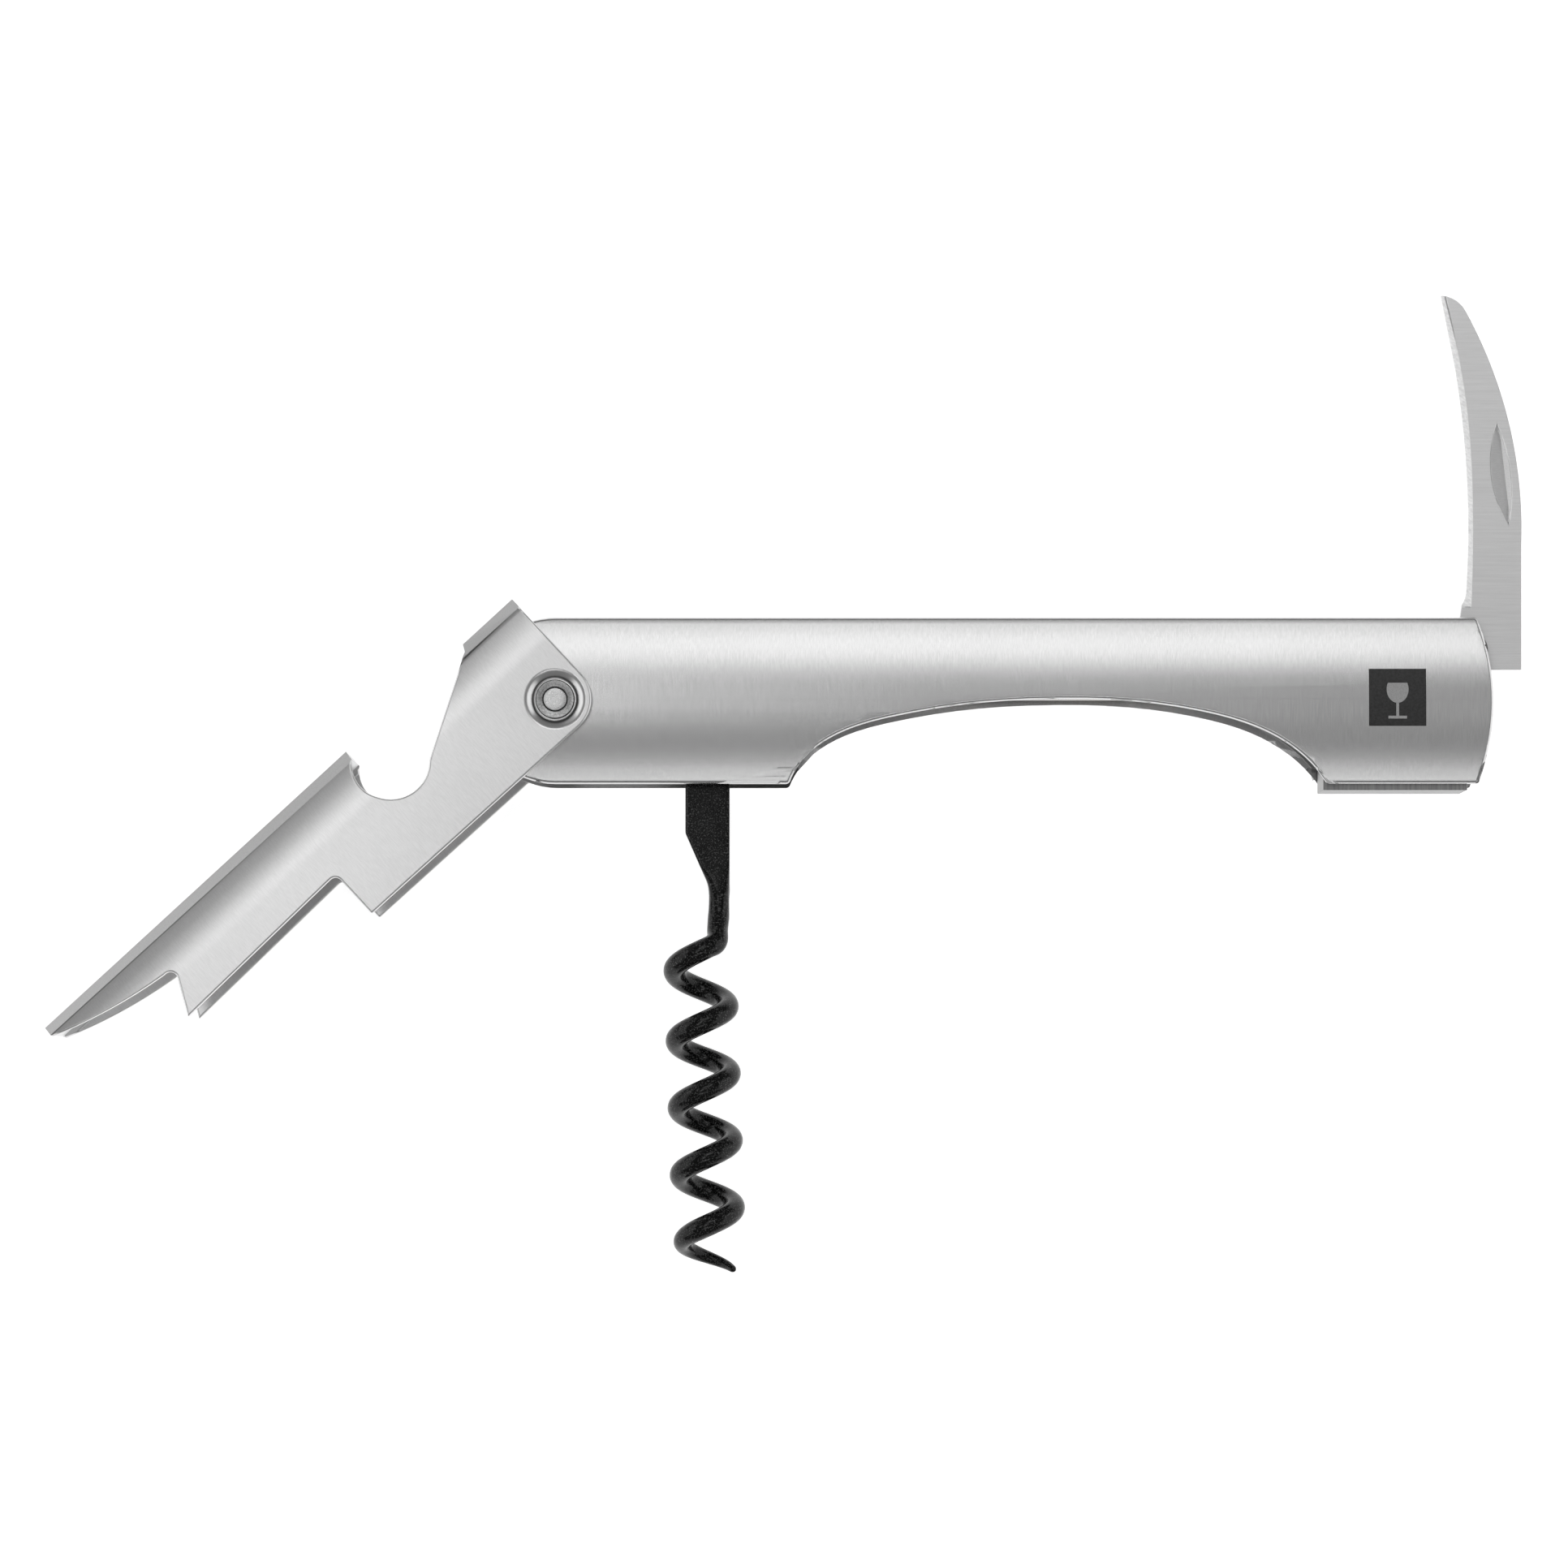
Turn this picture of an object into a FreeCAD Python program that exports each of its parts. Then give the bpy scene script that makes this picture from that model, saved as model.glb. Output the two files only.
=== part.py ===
"""Waiters corkscrew lying on its side, opened out.

X runs along the handle, Y is up the handle's side and Z is its thickness. Every piece is drawn
about the lever's pivot, with Z = 0 at mid thickness, and place() then moves it into the frame,
whose origin is the centre of the underside of the whole object.
"""
import FreeCAD, Part
import math
import os

V = FreeCAD.Vector
X_AXIS = V(1, 0, 0)
Y_AXIS = V(0, 1, 0)
Z_AXIS = V(0, 0, 1)

# ---- handle ------------------------------------------------------------------------------------
HANDLE_HALF_HEIGHT = 10.3
HANDLE_HALF_WIDTH = 6.7        # outer face of each pressed shell
EDGE_HALF_WIDTH = 5.45         # outer face at the shell's long edges
SHELL_SEAT = 5.6               # inner face of a shell, where the liner is welded on
SHELL_SEAT_HALF_HEIGHT = 7.9
SHELL_LIP = 4.6                # inner face at the shell's long edges
SHEET_CLEARANCE = 0.05         # between the filler and the shells' rolled edges
BUTT_X = 115.7                 # furthest point of the handle's rounded butt
BUTT_CORNER_X = 113.8
BAY_HALF_WIDTH = 4.95          # inner faces of the liners
LINER_HALF_HEIGHT = 7.8
LINER_MARGIN = 1.0             # how far a liner stays inside the shell's outline

# ---- finger cut-out along the handle's underside -----------------------------------------------
CUT_OUT = [(28.8, -10.3), (31.3, -6.5), (35.7, -3.75), (42.1, -1.9), (51.5, -0.4), (61.4, 0.15),
           (71.0, -0.1), (80.0, -1.4), (87.4, -3.7), (91.9, -6.5), (95.2, -10.3)]

# ---- lever -------------------------------------------------------------------------------------
LEVER_ANGLE = 222.7            # direction of the lever at rest, from the pivot
LEVER_HALF_WIDTH = 8.1
LEVER_INNER = 6.9
LEVER_BACK = 12.8              # outer face of the lever's back, from the pivot
SHEET = 1.2
CREASE = 11.35                 # where the flank meets the slanted facet
FACET_HALF_WIDTH = 6.5         # flat of the back, between the two facets
CREASE_HALF_WIDTH = 7.6
FLANK_CURVE_START = 6.0
HINGE_ROUND = 4.5              # round of the hinge end, from the pivot
LEVER_LENGTH = 73.5
INNER_BEND = 0.7               # slant inside both corners of the back
STEP_S = 34.45                 # edge of the middle step that hooks on a bottle's rim
HEEL_S = 57.25                 # edge of the tongue's heel

# ---- rivet of the lever ------------------------------------------------------------------------
SLEEVE_R = 2.0
RUNNING_GAP = 0.05
HEAD_R = 2.55
HEAD_Z = 7.7
HEAD_TOP = 8.02
HEAD_CHAMFER = 0.12
HEAD_LAP = 0.05                # how far the heads run into their shafts
DISH_R = 3.6
DISH_FLOOR_R = 2.65
DISH_Z = 7.5
PIN_R = 1.2
PIN_HEAD_R = 1.4
PIN_HEAD_TOP = 7.98
PIN_HEAD_GAP = 0.12            # dark ring round the pin's head
WASHER_R = 4.35
WASHER_GAP = 0.04

# ---- worm --------------------------------------------------------------------------------------
WORM_PIVOT = (18.7, -5.3)
WORM_PIN_R = 1.3
SHANK_HALF = 2.75
SHANK_HALF_THICKNESS = 1.35
SHANK_TAPER_Y = -16.2          # where the shank starts to narrow
SHANK_NECK = 2.6               # width of its narrow end
STEM_TOP_Y = -22.5             # where the round wire starts
WORM_SPACER_R = 2.6
WIRE_R = 1.35
COIL_R = 3.25
PITCH = 8.3
TIP_PHASE = 22.0               # how far round the tip stops, in degrees
TAPER_TURNS = 0.62
TIP_R = 0.4
COIL_TOP = (17.5, -29.35)
COIL_LEAN = 1.8
ELBOW_R = 1.8

# ---- blade -------------------------------------------------------------------------------------
BLADE_PIVOT = (112.5, 6.2)
BLADE_PIN_R = 1.2
BLADE_PIN_END = 5.55           # clear of the shells, which curve in beside the blade's pin
TANG_R = 3.0
BLADE_HALF = 0.9
BLADE_TIP = (110.0, 50.9)
BLADE_BACK_X = 119.8
TANG_BOTTOM = 4.1
BLADE_SPACER_R = 2.7
BEVEL = 0.8
EDGE_LINE = [(112.85, 12.0), (113.1, 20.0), (113.0, 29.0), (112.4, 37.0), (111.3, 44.0), (109.75, 52.0)]
NICK_CENTRE = (117.4, 28.5)
NICK_TILT = 6.3
NICK_DEPTH = 0.45
NICK_ENDS = [(116.9, 34.8), (118.3, 22.2)]
NICK_SIDES = [(116.1, 29.4), (118.6, 28.4)]

# ---- inner pieces ------------------------------------------------------------------------------
SPINE_START = 13.0
SPINE_END = 64.0
SPINE_LOW = 4.0
SPINE_TOP = 9.7
SPINE_HALF = 4.6
SPRING_LOW = 0.45
SPRING_TOP = 2.9
SPRING_HALF = 1.6
SPRING_GAP = 0.15
SPRING_FOOT = (-2.2, 2.4)      # ends of the spring's foot, about the worm's pivot
SPRING_RISE = 3.5
SPRING_NOSE = 2.6              # how far the nose stops short of the blade's pivot
NOSE_TOP = 4.3
NOSE_CHAMFER = (2.0, 1.2)
NOSE_FLAT = 3.0
NOSE_RAMP = 9.0
RIVET_R = 0.9
FILLER_TOP = -4.15
FILLER_ENDS = (0.4, 1.2)       # how far the filler passes the cut-out, and stops short of the butt
FILLER_SEAT_HEIGHT = 2.6       # full-width step that seats between the liners
FILLER_STEP = 0.8
FOOT_DROP = 0.75               # how far the butt filler stands below the shells
EMBLEM_CENTRE = (103.85, 0.3)
EMBLEM_SIDE = 7.0
EMBLEM_DEPTH = 0.3
EMBLEM_CLEARANCE = 0.03
LONG = 140.0                   # longer than the handle, for pieces that are cut to its outline

# ---- place in the frame ------------------------------------------------------------------------
PIVOT_IN_FRAME = V(-28.625, 9.903, LEVER_HALF_WIDTH)


def point(xy, z=0.0):
    return V(xy[0], xy[1], z)


def line(a, b):
    return Part.LineSegment(a, b).toShape()


def arc(a, b, c):
    return Part.Arc(a, b, c).toShape()


def curve(points):
    spline = Part.BSplineCurve()
    spline.interpolate(points)
    return spline.toShape()


def face(edges):
    return Part.Face(Part.Wire(edges))


def polygon(points):
    return Part.Face(Part.makePolygon(points + [points[0]]))


def outline(start, steps):
    """Closed outline in the XY plane: a step is the next corner, or an arc's middle and end."""
    edges = []
    here = point(start)
    for *middle, end in steps:
        there = point(end)
        if middle:
            edges.append(arc(here, point(middle[0]), there))
        else:
            edges.append(line(here, there))
        here = there
    return face(edges)


def slab(flat, low, high):
    """A face in the XY plane, made solid from Z = low to Z = high."""
    solid = flat.extrude(Z_AXIS * (high - low))
    solid.translate(Z_AXIS * low)
    return solid


def rod(radius, low, high, at=(0.0, 0.0)):
    return Part.makeCylinder(radius, high - low, point(at, low), Z_AXIS)


def ring(outer, inner, low, high, at=(0.0, 0.0)):
    return rod(outer, low, high, at).cut(rod(inner, low - 1, high + 1, at))


def mirror_thickness(shape):
    return shape.mirror(V(0, 0, 0), Z_AXIS)


def place(shape):
    moved = shape.copy()
    moved.translate(PIVOT_IN_FRAME)
    return moved


# ---- handle shells and liners ------------------------------------------------------------------
def handle_outline(margin=0.0):
    """Side view of the handle: round about the lever's pivot, cut out below, curved at the butt."""
    h = HANDLE_HALF_HEIGHT - margin
    start = V(0, h, 0)
    nose = V(-h, 0, 0)
    under = V(0, -h, 0)
    top_right = V(BUTT_CORNER_X - margin, h, 0)
    butt = V(BUTT_X - margin, 0, 0)
    low_right = V(BUTT_CORNER_X - margin, -h, 0)
    raised = [point(xy) + V(0, margin, 0) for xy in CUT_OUT]
    return face([
        arc(start, nose, under),
        line(under, raised[0]),
        curve(raised),
        line(raised[-1], low_right),
        arc(low_right, butt, top_right),
        line(top_right, start),
    ])


def shell_section():
    """Cross-section of a pressed shell, in the YZ plane: gently crowned outside, flat seat inside."""
    x = -HANDLE_HALF_HEIGHT - 1.0
    edge = HANDLE_HALF_HEIGHT + 1.0
    crown_fall = (HANDLE_HALF_WIDTH - EDGE_HALF_WIDTH) * (edge / HANDLE_HALF_HEIGHT) ** 2
    lip_slope = (SHELL_SEAT - SHELL_LIP) / (HANDLE_HALF_HEIGHT - SHELL_SEAT_HALF_HEIGHT)
    lip = SHELL_SEAT - lip_slope * (edge - SHELL_SEAT_HALF_HEIGHT)
    outer_low = V(x, -edge, HANDLE_HALF_WIDTH - crown_fall)
    outer_high = V(x, edge, HANDLE_HALF_WIDTH - crown_fall)
    seat_low = V(x, -SHELL_SEAT_HALF_HEIGHT, SHELL_SEAT)
    seat_high = V(x, SHELL_SEAT_HALF_HEIGHT, SHELL_SEAT)
    return face([
        arc(outer_low, V(x, 0, HANDLE_HALF_WIDTH), outer_high),
        line(outer_high, V(x, edge, lip)),
        line(V(x, edge, lip), seat_high),
        line(seat_high, seat_low),
        line(seat_low, V(x, -edge, lip)),
        line(V(x, -edge, lip), outer_low),
    ])


def plain_shell():
    body = shell_section().extrude(X_AXIS * LONG)
    shell = body.common(slab(handle_outline(), 0, 10))
    return shell.cut(rod(SLEEVE_R + RUNNING_GAP, 0, 10))


def emblem_square(side, low, high):
    half = side / 2
    x, y = EMBLEM_CENTRE
    return Part.makeBox(side, side, high - low, V(x - half, y - half, low))


def front_shell():
    pocket = emblem_square(EMBLEM_SIDE + 2 * EMBLEM_CLEARANCE, HANDLE_HALF_WIDTH - EMBLEM_DEPTH, 10)
    return plain_shell().cut(pocket)


def rear_shell():
    return mirror_thickness(plain_shell())


def emblem_plate():
    """Thin dark tile that lies flush in the front shell's pocket."""
    body = shell_section().extrude(X_AXIS * LONG)
    low = HANDLE_HALF_WIDTH - EMBLEM_DEPTH
    return body.common(emblem_square(EMBLEM_SIDE, low, 10))


def liner():
    """Flat plate welded inside a shell; it carries the pins."""
    plate = slab(handle_outline(LINER_MARGIN), BAY_HALF_WIDTH, SHELL_SEAT)
    strip = Part.makeBox(LONG, 2 * LINER_HALF_HEIGHT, SHELL_SEAT,
                         V(-HANDLE_HALF_HEIGHT, -LINER_HALF_HEIGHT, 0))
    plate = plate.common(strip)
    plate = plate.cut(rod(SLEEVE_R + RUNNING_GAP, 0, 10))
    plate = plate.cut(rod(WORM_PIN_R, 0, 10, WORM_PIVOT))
    plate = plate.cut(rod(BLADE_PIN_R, 0, 10, BLADE_PIVOT))
    for centre in rivet_places():
        plate = plate.cut(rod(RIVET_R, 0, 10, centre))
    return plate


# ---- spine, spring and filler ------------------------------------------------------------------
def spine_places():
    return [(18.0, 5.4), (38.5, 5.4), (59.0, 5.4)]


def spring_places():
    return [(46.0, 1.65), (72.0, 1.65)]


def filler_places():
    return [(98.2, -5.3), (108.0, -5.3)]


def rivet_places():
    return spine_places() + spring_places() + filler_places()


def spine_bar():
    """Solid bar that closes the top of the handle, from the lever's end to the blade's slot."""
    bar = Part.makeBox(SPINE_END - SPINE_START, SPINE_TOP - SPINE_LOW, 2 * SPINE_HALF,
                       V(SPINE_START, SPINE_LOW, -SPINE_HALF))
    step = Part.makeBox(SPINE_END - SPINE_START, LINER_HALF_HEIGHT - SPINE_LOW, 2 * BAY_HALF_WIDTH,
                        V(SPINE_START, SPINE_LOW, -BAY_HALF_WIDTH))
    bar = bar.fuse(step).removeSplitter()
    for centre in spine_places():
        bar = bar.cut(rod(RIVET_R, -10, 10, centre))
    return bar


def back_spring():
    """Leaf that bears on the blade's tang at one end and on the worm's shank at the other."""
    foot_left = WORM_PIVOT[0] + SPRING_FOOT[0]
    foot_right = WORM_PIVOT[0] + SPRING_FOOT[1]
    foot_low = WORM_PIVOT[1] + SHANK_HALF + SPRING_GAP
    nose_x = BLADE_PIVOT[0] - SPRING_NOSE
    leaf = slab(outline((foot_left, SPRING_TOP), [
        [(foot_left, foot_low)],
        [(foot_right, foot_low)],
        [(foot_right + SPRING_RISE, SPRING_LOW)],
        [(nose_x - NOSE_CHAMFER[0], SPRING_LOW)],
        [(nose_x, SPRING_LOW + NOSE_CHAMFER[1])],
        [(nose_x, NOSE_TOP)],
        [(nose_x - NOSE_FLAT, NOSE_TOP)],
        [(nose_x - NOSE_FLAT - NOSE_RAMP, SPRING_TOP)],
        [(foot_left, SPRING_TOP)],
    ]), -SPRING_HALF, SPRING_HALF)
    leaf = leaf.cut(rod(TANG_R + SPRING_GAP, -5, 5, BLADE_PIVOT))
    for centre in spring_places():
        leaf = leaf.cut(rod(RIVET_R, -5, 5, centre))
    return leaf


def butt_filler():
    """Block between the liners at the butt; its foot shows below the shells."""
    left = CUT_OUT[-1][0] - FILLER_ENDS[0]
    right = BUTT_CORNER_X - FILLER_ENDS[1]
    low = -HANDLE_HALF_HEIGHT - FOOT_DROP
    half = SHELL_LIP - SHEET_CLEARANCE
    block = Part.makeBox(right - left, FILLER_TOP - low, 2 * half, V(left, low, -half))
    seat = Part.makeBox(right - left - 2 * FILLER_STEP, FILLER_SEAT_HEIGHT, 2 * BAY_HALF_WIDTH,
                        V(left + FILLER_STEP, -LINER_HALF_HEIGHT, -BAY_HALF_WIDTH))
    block = block.fuse(seat).removeSplitter()
    for centre in filler_places():
        block = block.cut(rod(RIVET_R, -10, 10, centre))
    return block


def rivets(places):
    """Plain rivets, flush with the outer faces of the liners, which the shells cover."""
    return Part.makeCompound([rod(RIVET_R, -SHELL_SEAT, SHELL_SEAT, centre) for centre in places])


# ---- lever and its rivet -----------------------------------------------------------------------
def lever_outline():
    """Side view of the lever: distance along it as X, distance towards its back as Y."""
    diagonal = -HINGE_ROUND * math.sqrt(0.5)
    hook = [
        [(3.75, LEVER_BACK)],
        [(4.2, 11.9)],
        [(16.4, 5.0)],
        [(20.9, 3.45), (24.2, 5.9)],
        [(24.9, 8.6), (23.4, 11.5)],
        [(23.3, LEVER_BACK)],
    ]
    tongue = [
        [(LEVER_LENGTH, LEVER_BACK)],
        [(LEVER_LENGTH, 11.3)],
        [(66.5, 9.1), (58.3, 7.55)],
        [(57.3, 7.1), (HEEL_S, 6.2)],
    ]
    step = [
        [(59.6, 1.75)],
        [(35.3, 2.35)],
        [(34.7, 2.1), (STEP_S, 1.5)],
        [(STEP_S, -4.2)],
        [(0, -HINGE_ROUND)],
    ]
    hinge = [
        [(diagonal, diagonal), (-HINGE_ROUND, 0)],
        [(-HINGE_ROUND, LEVER_BACK)],
    ]
    return outline((-HINGE_ROUND, LEVER_BACK), hook + tongue + step + hinge)


def channel_section():
    """U of pressed sheet, in the YZ plane, with a slanted facet along both corners of its back."""
    x = -8
    low = -8
    curve_mid = (FLANK_CURVE_START + CREASE) / 2
    sag = (LEVER_HALF_WIDTH - CREASE_HALF_WIDTH) / 4
    inner_back = LEVER_BACK - SHEET

    def half(sign):
        return [
            line(V(x, low, sign * LEVER_HALF_WIDTH), V(x, FLANK_CURVE_START, sign * LEVER_HALF_WIDTH)),
            arc(V(x, FLANK_CURVE_START, sign * LEVER_HALF_WIDTH),
                V(x, curve_mid, sign * (LEVER_HALF_WIDTH - sag)),
                V(x, CREASE, sign * CREASE_HALF_WIDTH)),
            line(V(x, CREASE, sign * CREASE_HALF_WIDTH), V(x, LEVER_BACK, sign * FACET_HALF_WIDTH)),
        ]

    def inner(sign):
        return [
            line(V(x, low, sign * LEVER_INNER), V(x, inner_back - INNER_BEND, sign * LEVER_INNER)),
            line(V(x, inner_back - INNER_BEND, sign * LEVER_INNER),
                 V(x, inner_back, sign * (LEVER_INNER - INNER_BEND))),
        ]

    edges = half(1) + half(-1) + inner(1) + inner(-1)
    edges.append(line(V(x, LEVER_BACK, FACET_HALF_WIDTH), V(x, LEVER_BACK, -FACET_HALF_WIDTH)))
    edges.append(line(V(x, inner_back, LEVER_INNER - INNER_BEND),
                      V(x, inner_back, INNER_BEND - LEVER_INNER)))
    edges.append(line(V(x, low, LEVER_HALF_WIDTH), V(x, low, LEVER_INNER)))
    edges.append(line(V(x, low, -LEVER_HALF_WIDTH), V(x, low, -LEVER_INNER)))
    return face(Part.__sortEdges__(edges))


def rivet_dish():
    """Round recess in the lever's flank that the rivet's head lies in."""
    return Part.makeCone(DISH_FLOOR_R, DISH_R, LEVER_HALF_WIDTH - DISH_Z, V(0, 0, DISH_Z), Z_AXIS)


def lever():
    channel = channel_section().extrude(X_AXIS * LONG)
    body = channel.common(slab(lever_outline(), -10, 10))
    body = body.cut(rod(SLEEVE_R + RUNNING_GAP, -10, 10))
    body = body.cut(rivet_dish()).cut(mirror_thickness(rivet_dish()))
    # +X along the lever and +Y to its back: turned so the back faces away from the worm
    body = body.mirror(V(0, 0, 0), Y_AXIS)
    body.rotate(V(0, 0, 0), Z_AXIS, LEVER_ANGLE)
    return body


def sleeve_head():
    """Flared end of the sleeve, hollowed for the pin's head."""
    flare = Part.makeCone(SLEEVE_R, HEAD_R, HEAD_CHAMFER, V(0, 0, HEAD_Z - HEAD_CHAMFER), Z_AXIS)
    rim = rod(HEAD_R, HEAD_Z, HEAD_TOP)
    top_edges = [e for e in rim.Edges if e.CenterOfMass.z > (HEAD_Z + HEAD_TOP) / 2]
    rim = rim.makeChamfer(HEAD_CHAMFER, top_edges)
    return flare.fuse(rim).cut(head_hollow())


def head_hollow():
    return rod(PIN_HEAD_R + PIN_HEAD_GAP, HEAD_Z - HEAD_LAP, HEAD_TOP + 1)


def rivet_sleeve():
    tube = rod(SLEEVE_R, -HEAD_Z, HEAD_Z)
    tube = tube.fuse([sleeve_head(), mirror_thickness(sleeve_head())])
    tube = tube.cut(head_hollow()).cut(mirror_thickness(head_hollow()))
    return tube.cut(rod(PIN_R, -10, 10)).removeSplitter()


def rivet_pin():
    pin = rod(PIN_R, -HEAD_Z, HEAD_Z)
    head = rod(PIN_HEAD_R, HEAD_Z - HEAD_LAP, PIN_HEAD_TOP)
    return pin.fuse([head, mirror_thickness(head)]).removeSplitter()


def lever_washer():
    return ring(WASHER_R, SLEEVE_R + RUNNING_GAP, HANDLE_HALF_WIDTH, LEVER_INNER - WASHER_GAP)


# ---- worm --------------------------------------------------------------------------------------
def shank():
    """Flattened top end of the wire, with the eye that the worm turns on."""
    x, y = WORM_PIVOT
    left = x - SHANK_HALF
    right = x + SHANK_HALF
    neck = right - SHANK_NECK
    plate = slab(outline((left, y), [
        [(x, y + SHANK_HALF), (right, y)],
        [(right, -26.0)],
        [(neck, -24.4)],
        [(neck, -22.8)],
        [(left, SHANK_TAPER_Y)],
        [(left, y)],
    ]), -SHANK_HALF_THICKNESS, SHANK_HALF_THICKNESS)
    return plate.cut(rod(WORM_PIN_R + RUNNING_GAP, -5, 5, WORM_PIVOT))


def coil_circle(angle, height, radius):
    """Wire section at one place on a coil that rises along +Z."""
    a = math.radians(angle)
    centre = V(COIL_R * math.cos(a), COIL_R * math.sin(a), height)
    along = V(-COIL_R * math.sin(a), COIL_R * math.cos(a), PITCH / (2 * math.pi))
    return Part.Wire(Part.Circle(centre, along, radius).toShape())


def coil_sweep(turns, radius_low, radius_high):
    path = Part.Wire(Part.makeHelix(PITCH, turns * PITCH, COIL_R).Edges)
    sweep = Part.BRepOffsetAPI.MakePipeShell(path)
    sweep.setFrenetMode(True)
    sweep.add(coil_circle(0, 0, radius_low))
    if radius_high != radius_low:
        sweep.add(coil_circle(360 * turns, turns * PITCH, radius_high))
    sweep.build()
    sweep.makeSolid()
    return sweep.shape()


def coil():
    """Right-handed coil with a tapered point, its axis along +Z and its top end on +X."""
    turns = 5 - TIP_PHASE / 360
    point_end = coil_sweep(TAPER_TURNS, TIP_R, WIRE_R)
    point_end.rotate(V(0, 0, 0), Z_AXIS, TIP_PHASE)
    tip = Part.makeSphere(TIP_R, V(COIL_R, 0, 0))
    tip.rotate(V(0, 0, 0), Z_AXIS, TIP_PHASE)
    body = coil_sweep(turns - TAPER_TURNS, WIRE_R, WIRE_R)
    body.rotate(V(0, 0, 0), Z_AXIS, TIP_PHASE + 360 * TAPER_TURNS)
    body.translate(Z_AXIS * TAPER_TURNS * PITCH)
    whole = body.fuse([point_end, tip])
    whole.translate(Z_AXIS * -turns * PITCH)
    return whole


def elbow():
    """Bend that brings the wire from the shank into the coil's first turn."""
    fall = PITCH / (2 * math.pi)
    length = math.hypot(fall, COIL_R)
    down, out = fall / length, COIL_R / length
    start = V(COIL_R, 0, 0)
    centre = start + V(0, ELBOW_R * out, ELBOW_R * down)
    angle = math.degrees(math.acos(down))
    circle = Part.Wire(Part.Circle(start, V(0, -down, out), WIRE_R).toShape())
    bend = Part.Face(circle).revolve(centre, X_AXIS, angle)
    head = centre + V(0, 0, -ELBOW_R)
    return bend, head


def worm():
    bend, head = elbow()
    wire = coil()
    wire.rotate(V(0, 0, 0), X_AXIS, -90)
    shift = point(COIL_TOP)
    wire.translate(shift)
    bend.translate(shift)
    head = head + shift
    top = V(WORM_PIVOT[0] + SHANK_HALF - WIRE_R, STEM_TOP_Y, 0)
    stem = Part.makeCylinder(WIRE_R, (top - head).Length, head, top - head)
    knuckle = Part.makeSphere(WIRE_R, head)
    lower = wire.fuse([bend, stem, knuckle])
    lower.rotate(top, Z_AXIS, COIL_LEAN)
    return shank().fuse(lower).removeSplitter()


def worm_spacer():
    return ring(WORM_SPACER_R, WORM_PIN_R, SHANK_HALF_THICKNESS + RUNNING_GAP, BAY_HALF_WIDTH, WORM_PIVOT)


def worm_pin():
    return rod(WORM_PIN_R, -SHELL_SEAT, SHELL_SEAT, WORM_PIVOT)


# ---- blade -------------------------------------------------------------------------------------
def blade_outline():
    """Back of the blade from its tip down, round the tang, and up the cutting edge."""
    x, y = BLADE_PIVOT
    back = [
        [(111.7, 50.4), (113.2, 48.8)],
        [(118.1, 36.4), (119.9, 19.8)],
        [(BLADE_BACK_X, TANG_BOTTOM)],
    ]
    tang = [
        [(x, TANG_BOTTOM)],
        [(x - TANG_R, y)],
        [(112.1, 10.4)],
    ]
    edge = [
        [(112.4, 12.2)],
        [(112.8, 13.0), (113.0, 14.2)],
        [(113.1, 29.0), (111.75, 41.7)],
        [(110.9, 46.2), BLADE_TIP],
    ]
    return outline(BLADE_TIP, back + tang + edge)


def bevel_cutter():
    """Wedge that grinds the front of the cutting edge; the same wedge mirrored grinds the rear."""
    route = [point(xy) for xy in EDGE_LINE]
    path = Part.Wire(curve(route))
    outside = -0.6
    edge_half = 0.05
    clear = BLADE_HALF + 0.02
    above = 3.0
    profile = polygon([V(outside, 0, edge_half), V(BEVEL, 0, clear), V(BEVEL, 0, above),
                       V(outside, 0, above)])
    profile.translate(route[0])
    sweep = Part.BRepOffsetAPI.MakePipeShell(path)
    sweep.setBiNormalMode(Z_AXIS)
    sweep.add(profile.OuterWire)
    sweep.build()
    sweep.makeSolid()
    return sweep.shape()


def nail_nick():
    """Lens-shaped groove near the blade's back, with a V-shaped floor."""
    top, bottom = NICK_ENDS
    left, right = NICK_SIDES
    lens = outline(top, [[left, bottom], [right, top]])
    surface = BLADE_HALF + 0.1
    wedge = polygon([V(-1.9, 0, surface), V(0.5, 0, BLADE_HALF - NICK_DEPTH), V(1.6, 0, surface)])
    groove = wedge.extrude(Y_AXIS * 20)
    groove.translate(Y_AXIS * -10)
    groove.rotate(V(0, 0, 0), Z_AXIS, NICK_TILT)
    groove.translate(point(NICK_CENTRE))
    return slab(lens, 0, 2).common(groove)


def blade():
    body = slab(blade_outline(), -BLADE_HALF, BLADE_HALF)
    body = body.fuse(rod(TANG_R, -BLADE_HALF, BLADE_HALF, BLADE_PIVOT)).removeSplitter()
    body = body.cut(rod(BLADE_PIN_R + RUNNING_GAP, -5, 5, BLADE_PIVOT))
    wedge = bevel_cutter()
    body = body.cut(wedge).cut(mirror_thickness(wedge))
    return body.cut(nail_nick())


def blade_spacer():
    return ring(BLADE_SPACER_R, BLADE_PIN_R, BLADE_HALF + RUNNING_GAP, BAY_HALF_WIDTH, BLADE_PIVOT)


def blade_pin():
    return rod(BLADE_PIN_R, -BLADE_PIN_END, BLADE_PIN_END, BLADE_PIVOT)


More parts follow.
